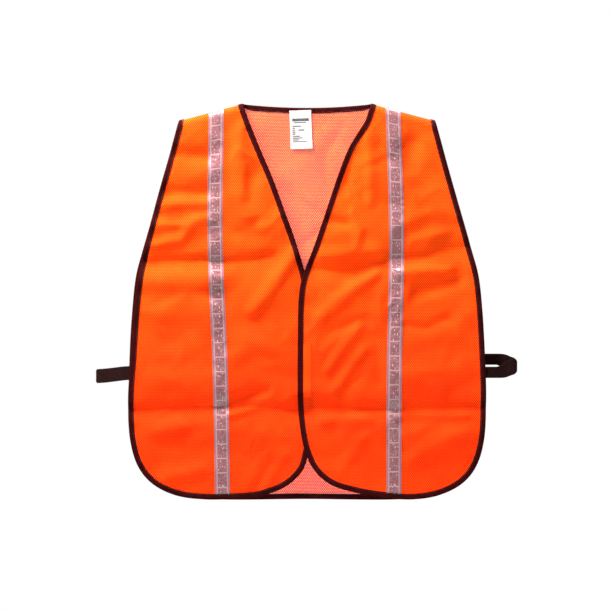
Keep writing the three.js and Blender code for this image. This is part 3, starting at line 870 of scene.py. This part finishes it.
class Shader:
    """The nodes of a new material, or of the world."""

    def __init__(self, name, library="materials"):
        self.owner = getattr(bpy.data, library).new(name)
        self.owner.use_nodes = True
        self.tree = self.owner.node_tree
        self.tree.nodes.clear()

    def node(self, kind, inputs=None, **settings):
        made = self.tree.nodes.new("ShaderNode" + kind)
        for name, value in settings.items():
            setattr(made, name, value)
        for name, value in (inputs or {}).items():
            self.feed(made.inputs[name], value)
        return made

    def feed(self, socket, value):
        if isinstance(value, bpy.types.NodeSocket):
            self.tree.links.new(value, socket)
        else:
            socket.default_value = value

    def math(self, operation, *values):
        return self.node("Math", dict(enumerate(values)), operation=operation).outputs[0]

    def uv(self):
        """The UV map, in metres, whole and as its two coordinates."""
        whole = self.node("UVMap").outputs[0]
        split = self.node("SeparateXYZ", {0: whole})
        return whole, split.outputs[0], split.outputs[1]

    def place(self):
        """The object's own coordinates, in metres."""
        return self.node("TexCoord").outputs["Object"]

    def wave(self, value, period):
        """A cosine of a length, with that period."""
        return self.math("COSINE", self.math("MULTIPLY", value, 2 * math.pi / period))

    def noise(self, vector, size, detail=2.0, stretch=(1, 1, 1)):
        per_size = tuple(share / size for share in stretch)
        scaled = self.node("VectorMath", {0: vector, 1: per_size}, operation="MULTIPLY")
        made = self.node("TexNoise", {"Vector": scaled.outputs[0], "Scale": 1.0, "Detail": detail})
        return made.outputs[0]

    def ramp(self, value, low, high, start=0.0, end=1.0):
        made = self.node("MapRange", {0: value, 1: low, 2: high, 3: start, 4: end},
                         interpolation_type="SMOOTHSTEP")
        return made.outputs[0]

    def blend(self, share, first, second):
        made = self.node("Mix", data_type="RGBA")
        for socket, value in ((made.inputs[0], share), (made.inputs[6], first), (made.inputs[7], second)):
            self.feed(socket, value)
        return made.outputs[2]

    def bump(self, height, distance, strength=1.0):
        made = self.node("Bump", {"Height": height, "Distance": distance, "Strength": strength})
        return made.outputs[0]

    def show(self, kind, inputs, output="OutputMaterial"):
        """Shows that shader on the owner, and returns the owner."""
        self.node(output, {0: self.node(kind, inputs).outputs[0]})
        return self.owner


def rgb(red, green, blue):
    return (red, green, blue, 1.0)


def mesh_material(name, closed):
    """Open warp knit: fluorescent orange yarn round holes set corner to corner. The knit is open where its
    lattice is above closed."""
    s = Shader(name)
    coordinates, u, v = s.uv()
    lattice = s.math("MULTIPLY", s.wave(u, MESH_ACROSS), s.wave(v, MESH_DOWN))
    hole = s.ramp(lattice, closed - 0.04, closed + 0.04)
    patches = s.noise(coordinates, 60 * MM, 3.0)
    yarns = s.math("MULTIPLY", s.wave(s.math("ADD", u, v), MESH_ACROSS / 8), s.wave(v, MESH_DOWN / 8))
    colour = s.blend(s.ramp(patches, 0.35, 0.65), rgb(0.98, 0.164, 0.004), rgb(1.0, 0.198, 0.006))
    # painted shade: the knit turns darker and redder from about z -220 mm down to z -530 mm, where the light
    # falls off towards the hem
    colour = s.blend(s.ramp(v, -190 * MM, 120 * MM, 0.55, 0.0), colour, rgb(0.98, 0.050, 0.003))
    # painted shade: the yarn turns dark red towards each hole, standing in for the shaded layer seen through
    # it
    colour = s.blend(s.ramp(lattice, -0.6, 0.2), colour, rgb(0.78, 0.004, 0.001))
    height = s.math("ADD", s.math("MULTIPLY", lattice, -0.8), s.math("MULTIPLY", yarns, 0.25))
    normal = s.bump(height, 0.18 * MM, 0.8)
    yarn = s.node("BsdfPrincipled", {
        "Base Color": colour, "Roughness": 0.85, "Normal": normal, "Specular IOR Level": 0.05,
        "Sheen Weight": 0.04, "Sheen Roughness": 0.6, "Sheen Tint": rgb(1.0, 0.35, 0.1),
    })
    through = s.node("BsdfTranslucent", {"Color": colour, "Normal": normal})
    cloth = s.node("MixShader", {0: 0.3, 1: yarn.outputs[0], 2: through.outputs[0]})
    clear = s.node("BsdfTransparent")
    return s.show("MixShader", {0: hole, 1: cloth.outputs[0], 2: clear.outputs[0]})


def binding_material():
    """Woven polyester tape, near black with a brown cast, with fine ribs across it."""
    s = Shader("dark_binding")
    coordinates, u, v = s.uv()
    ribs = s.math("MULTIPLY", s.wave(v, 0.9 * MM), s.wave(u, 1.1 * MM))
    wear = s.noise(coordinates, 14 * MM, 4.0)
    colour = s.blend(s.ramp(wear, 0.35, 0.7), rgb(0.019, 0.0006, 0.0006), rgb(0.027, 0.0014, 0.0016))
    colour = s.blend(s.ramp(ribs, -0.2, 1.0, 0.0, 0.5), colour, rgb(0.033, 0.002, 0.0025))
    normal = s.bump(ribs, 0.12 * MM, 0.7)
    return s.show("BsdfPrincipled", {
        "Base Color": colour, "Roughness": 0.9, "Normal": normal, "Specular IOR Level": 0.03,
    })


def thread_material(name, colour):
    s = Shader(name)
    coordinates = s.place()
    twist = s.noise(coordinates, 0.5 * MM, 1.0)
    shade = s.blend(s.ramp(twist, 0.3, 0.7), colour, tuple(0.7 * c for c in colour[:3]) + (1.0,))
    return s.show("BsdfPrincipled", {
        "Base Color": shade, "Roughness": 0.55, "Normal": s.bump(twist, 0.05 * MM), "Specular IOR Level": 0.4,
    })


def tape_material():
    """Clear glossy film over prism cells: mauve grey cells, pale welds round them, and paler margins."""
    s = Shader("prism_tape")
    coordinates, u, v = s.uv()
    off_middle = s.math("ABSOLUTE", u)
    in_cell = s.math("PINGPONG", s.math("DIVIDE", v, CELL_PITCH), 0.5)
    to_weld = s.math("MULTIPLY", in_cell, CELL_PITCH)
    cell_end = s.ramp(to_weld, CELL_GAP / 2 - 0.2 * MM, CELL_GAP / 2 + 0.5 * MM)
    cell_side = s.ramp(off_middle, CELL_WIDTH / 2 + 0.3 * MM, CELL_WIDTH / 2 - 0.3 * MM)
    cell = s.math("MULTIPLY", cell_end, cell_side)
    mottle = s.noise(coordinates, 7 * MM, 4.0, (1, 1.6, 1))
    streaks = s.noise(coordinates, 3.2 * MM, 3.0, (0.35, 1.5, 1))
    grey = s.blend(s.ramp(mottle, 0.3, 0.7), rgb(0.15, 0.055, 0.060), rgb(0.20, 0.083, 0.090))
    # painted highlight: pale streaks in the cells stand in for light caught in the film's crinkles; the same
    # streaks also raise the bump
    grey = s.blend(s.ramp(streaks, 0.60, 0.74, 0.0, 0.6), grey, rgb(0.36, 0.22, 0.23))
    glints = s.noise(coordinates, 2.4 * MM, 2.0, (1.3, 0.45, 1))
    grey = s.blend(s.ramp(glints, 0.60, 0.70, 0.0, 0.7), grey, rgb(0.60, 0.50, 0.51))
    outer = s.ramp(off_middle, 9.0 * MM, 9.6 * MM)
    rim = s.ramp(off_middle, 12.0 * MM, 12.5 * MM)
    film = s.blend(outer, rgb(0.31, 0.175, 0.19), rgb(0.19, 0.082, 0.10))
    film = s.blend(rim, film, rgb(0.28, 0.15, 0.16))
    colour = s.blend(cell, film, grey)
    slants = [s.wave(s.math(way, u, v), 0.8 * MM) for way in ("ADD", "SUBTRACT")]
    prisms = s.math("MULTIPLY", s.math("MULTIPLY", s.math("MULTIPLY", *slants), cell), 0.3)
    height = s.math("ADD", prisms, s.math("MULTIPLY", streaks, 4.0))
    normal = s.bump(height, 0.08 * MM, 0.8)
    rough = s.ramp(cell, 0.0, 1.0, 0.30, 0.22)
    return s.show("BsdfPrincipled", {
        "Base Color": colour, "Roughness": rough, "Normal": normal, "Specular IOR Level": 0.35,
        "Coat Weight": 0.2, "Coat Roughness": 0.08,
    })


def elastic_material():
    """Black braided elastic: ribs run along it, with a fine plait across them."""
    s = Shader("black_elastic")
    coordinates, u, v = s.uv()
    plait = s.wave(s.math("ADD", v, s.math("MULTIPLY", s.wave(u, RIB_PITCH), 0.25 * MM)), 1.1 * MM)
    lint = s.noise(coordinates, 3 * MM, 4.0)
    colour = s.blend(s.ramp(plait, -0.6, 1.0), rgb(0.0095, 0.002, 0.002), rgb(0.015, 0.004, 0.004))
    colour = s.blend(s.ramp(lint, 0.55, 0.75, 0.0, 0.4), colour, rgb(0.023, 0.009, 0.009))
    return s.show("BsdfPrincipled", {
        "Base Color": colour, "Roughness": 0.8, "Normal": s.bump(plait, 0.12 * MM, 0.8),
        "Specular IOR Level": 0.05,
    })


def fastener_material(name, pitch):
    """Bright orange hook or loop tape, with its rows of pile."""
    s = Shader(name)
    coordinates, u, v = s.uv()
    pile = s.math("MULTIPLY", s.wave(u, pitch), s.wave(v, pitch))
    fuzz = s.noise(coordinates, 1.2 * MM, 3.0)
    colour = s.blend(s.ramp(fuzz, 0.35, 0.65), rgb(0.97, 0.043, 0.0004), rgb(1.0, 0.054, 0.0006))
    colour = s.blend(s.ramp(pile, 0.2, 1.0, 0.0, 0.5), colour, rgb(1.0, 0.066, 0.0008))
    height = s.math("ADD", pile, fuzz)
    return s.show("BsdfPrincipled", {
        "Base Color": colour, "Roughness": 0.8, "Normal": s.bump(height, 0.3 * MM, 0.8),
        "Specular IOR Level": 0.04,
    })


def label_material():
    """White satin tape, woven fine."""
    s = Shader("white_label")
    coordinates = s.place()
    split = s.node("SeparateXYZ", {0: coordinates})
    weave = s.math("MULTIPLY", s.wave(split.outputs[0], 0.7 * MM), s.wave(split.outputs[2], 0.5 * MM))
    tone = s.noise(coordinates, 20 * MM, 2.0)
    colour = s.blend(s.ramp(tone, 0.3, 0.7), rgb(0.37, 0.358, 0.352), rgb(0.405, 0.393, 0.387))
    return s.show("BsdfPrincipled", {
        "Base Color": colour, "Roughness": 0.45, "Normal": s.bump(weave, 0.05 * MM, 0.6),
        "Specular IOR Level": 0.4, "Sheen Weight": 0.1,
    })


def print_material():
    s = Shader("grey_print")
    coordinates = s.place()
    worn = s.noise(coordinates, 1.0 * MM, 3.0)
    colour = s.blend(s.ramp(worn, 0.4, 0.75), rgb(0.03, 0.03, 0.034), rgb(0.07, 0.07, 0.075))
    return s.show("BsdfPrincipled", {"Base Color": colour, "Roughness": 0.7})


# Putting pieces on the frame --------

def fold_blend(item):
    """Bakes the piece's transform into its mesh. The piece reaches over the front's fold line, with the front
    on one side and the flap on the other.
    """
    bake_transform(item)


def shoulder_blend(item):
    """The piece crosses the shoulder line, from the back to the front."""
    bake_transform(item)


def hem_height_at(edge, x):
    """How low an edge's lowest stretch is at x."""
    low = edge.points[edge.points[:, 1] < -0.64]
    return float(low[np.argmin(np.abs(low[:, 0] - x))][1])


def add_piece(name, piece, look, slot, nodes=(), **settings):
    """A piece of the vest, in place of those nodes. Its slot is not used."""
    item = make_object(name, piece, look, **settings)
    if nodes:
        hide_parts(*nodes)
    return item


def bound_edges(layer, edges, looks):
    """The bindings of a layer's edges, each in place of its nodes, and then the stitches through them."""
    bindings = [add_piece(f"{name}_binding", binding(layer, edge), looks["binding"], "edge_binding", nodes)
                for name, edge, nodes in edges]
    seams = [add_piece(f"{name}_seam", seam(layer, edge), looks["dark_thread"], "edge_binding")
             for name, edge, _ in edges]
    return bindings + seams


def build_back(looks):
    cloth = add_piece("back_cloth", back_cloth(), looks["back_mesh"], "mesh_cloth", ["back_panel"],
                      closed=False, sharp=80)
    outer_nodes = ["back_hem_binding", "back_right_side_binding", "back_left_side_binding"]
    trim = bound_edges(BACK, [
        ("back_outer", back_outer_edge(), outer_nodes),
        ("back_neckline", back_neck_edge(), ["back_neck_binding"]),
    ], looks)
    for item in (cloth, *trim):
        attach(item, "back")
    return cloth, trim


def build_front(hand, looks):
    name = f"{hand}_front"
    panels = [f"{name}_side_panel", f"{name}_flap_panel"]
    cloth = add_piece(f"{name}_cloth", front_cloth(hand), looks["front_mesh"], "mesh_cloth", panels,
                      closed=False, sharp=80)
    nodes = [f"{hand}_{place}_binding" for place in ("side", "neck", "opening")]
    trim = bound_edges(FRONTS[hand], [(name, front_edge(hand), nodes)], looks)
    for item in (cloth, *trim):
        fold_blend(item)
    return cloth, trim


def build_tape(hand, looks):
    x = TAPE_PATHS[hand][3] * MM
    hems = (HEM_HEIGHT, hem_height_at(front_edge(hand), x))
    nodes = [f"back_{hand}_reflective_tape", f"{hand}_front_reflective_tape"]
    pieces = [
        add_piece(f"{hand}_reflective_tape", tape(hand, hems), looks["tape"], "reflective_tape", nodes,
                  sharp=70),
        add_piece(f"{hand}_tape_seams", tape_seams(hand, hems), looks["pale_thread"], "reflective_tape"),
    ]
    for item in pieces:
        shoulder_blend(item)


def build_elastic(hand, looks):
    name = f"{hand}_side_elastic"
    band = add_piece(f"{name}_band", side_elastic(hand), looks["elastic"], "side_elastic", [name], sharp=80)
    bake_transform(band)


def build_label(looks):
    whole = label_sheet((0, 1), (0, 1), 0, 0.3 * MM)
    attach(add_piece("neck_label_tape", whole, looks["label"], "label", ["neck_label"]), "label")
    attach(add_piece("neck_label_print", label_bars(), looks["print"], "label"), "label")


def build_fasteners(looks):
    for node, name, body, through in (
        ("hook_strip", "hook_tape", "right_flap", 0.0),
        ("loop_strip", "loop_tape", "left_flap", 1.3 * MM),
    ):
        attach(add_piece(name, strip_body(node, through), looks[name], "fastener", [node]), body)


# Stage --------

VIEW_SPAN = 1.037
VIEW_CENTRE = (-0.0034, -0.3417)
VIEW_DISTANCE = 6.2
SENSOR = 36.0
FLOOR_REACH = 1.6
FLOOR_HEIGHT = -1.15
WORLD_LIGHT = 0.24               # the strength of the white surroundings as light
LIGHT_AIM = (0, 0, -0.34)
# Area lights: name, place, power in watts and width
LIGHTS = [
    ("key", (-0.75, -0.45, 1.2), 190, 0.45),
    ("fill", (1.6, -3.0, 0.2), 8, 2.0),
    ("back_key", (1.3, 1.9, 2.0), 118, 1.0),
]


def add_to_scene(name, data, place, turn):
    item = bpy.data.objects.new(name, data)
    item.location = place
    item.rotation_euler = turn
    bpy.context.scene.collection.objects.link(item)
    return item


def add_camera():
    data = bpy.data.cameras.new("camera")
    data.sensor_width = SENSOR
    data.lens = SENSOR * VIEW_DISTANCE / VIEW_SPAN
    data.clip_end = 100
    place = (VIEW_CENTRE[0], -VIEW_DISTANCE, VIEW_CENTRE[1])
    camera = add_to_scene("camera", data, place, (math.pi / 2, 0, 0))
    bpy.context.scene.camera = camera


def add_light(name, place, power, width):
    data = bpy.data.lights.new(name, "AREA")
    data.energy = power
    data.size = width
    aim = Vector(LIGHT_AIM) - Vector(place)
    add_to_scene(name, data, place, aim.to_track_quat("-Z", "Y").to_euler())


def add_world():
    """White all round: at full strength where it is seen, and softer as light."""
    s = Shader("studio", "worlds")
    is_seen = s.node("LightPath").outputs["Is Camera Ray"]
    strength = s.node("MapRange", {0: is_seen, 3: WORLD_LIGHT, 4: 1.0}).outputs[0]
    white = {"Color": rgb(1, 1, 1), "Strength": strength}
    bpy.context.scene.world = s.show("Background", white, "OutputWorld")


def add_floor():
    sides = np.array([-FLOOR_REACH, FLOOR_REACH])
    x, y = np.meshgrid(sides, sides)
    piece = surface(np.stack([x, y, np.full((2, 2), FLOOR_HEIGHT)], -1), np.zeros((2, 2, 2)))
    s = Shader("pale_floor")
    tone = s.noise(s.place(), 0.4, 3.0)
    colour = s.blend(tone, rgb(0.80, 0.80, 0.80), rgb(0.84, 0.84, 0.84))
    look = s.show("BsdfPrincipled", {"Base Color": colour, "Roughness": 0.8})
    make_object("floor", piece, look, closed=False)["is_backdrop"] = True


def add_stage():
    add_camera()
    add_world()
    add_floor()
    for light in LIGHTS:
        add_light(*light)
    bpy.context.scene.view_settings.view_transform = "Standard"
    bpy.context.scene.cycles.transparent_max_bounces = 24


# The vest --------

def corners(bounds):
    return [[float(value) for value in corner] for corner in bounds]


def main():
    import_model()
    cad_box = corners(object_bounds())
    add_stage()
    looks = {
        "back_mesh": mesh_material("orange_back_mesh", BACK_CLOSED),
        "front_mesh": mesh_material("orange_front_mesh", FRONT_CLOSED),
        "binding": binding_material(),
        "tape": tape_material(),
        "elastic": elastic_material(),
        "hook_tape": fastener_material("hook_tape", 1.3 * MM),
        "loop_tape": fastener_material("loop_tape", 0.9 * MM),
        "label": label_material(),
        "print": print_material(),
        "dark_thread": thread_material("dark_thread", rgb(0.030, 0.009, 0.010)),
        "pale_thread": thread_material("pale_thread", rgb(0.46, 0.33, 0.345)),
    }
    back, back_trim = build_back(looks)
    fronts = {hand: build_front(hand, looks) for hand in SIDES}
    for hand in SIDES:
        build_tape(hand, looks)
    for hand in SIDES:
        build_elastic(hand, looks)
    build_label(looks)
    build_fasteners(looks)
    visual_box = corners(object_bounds())


main()
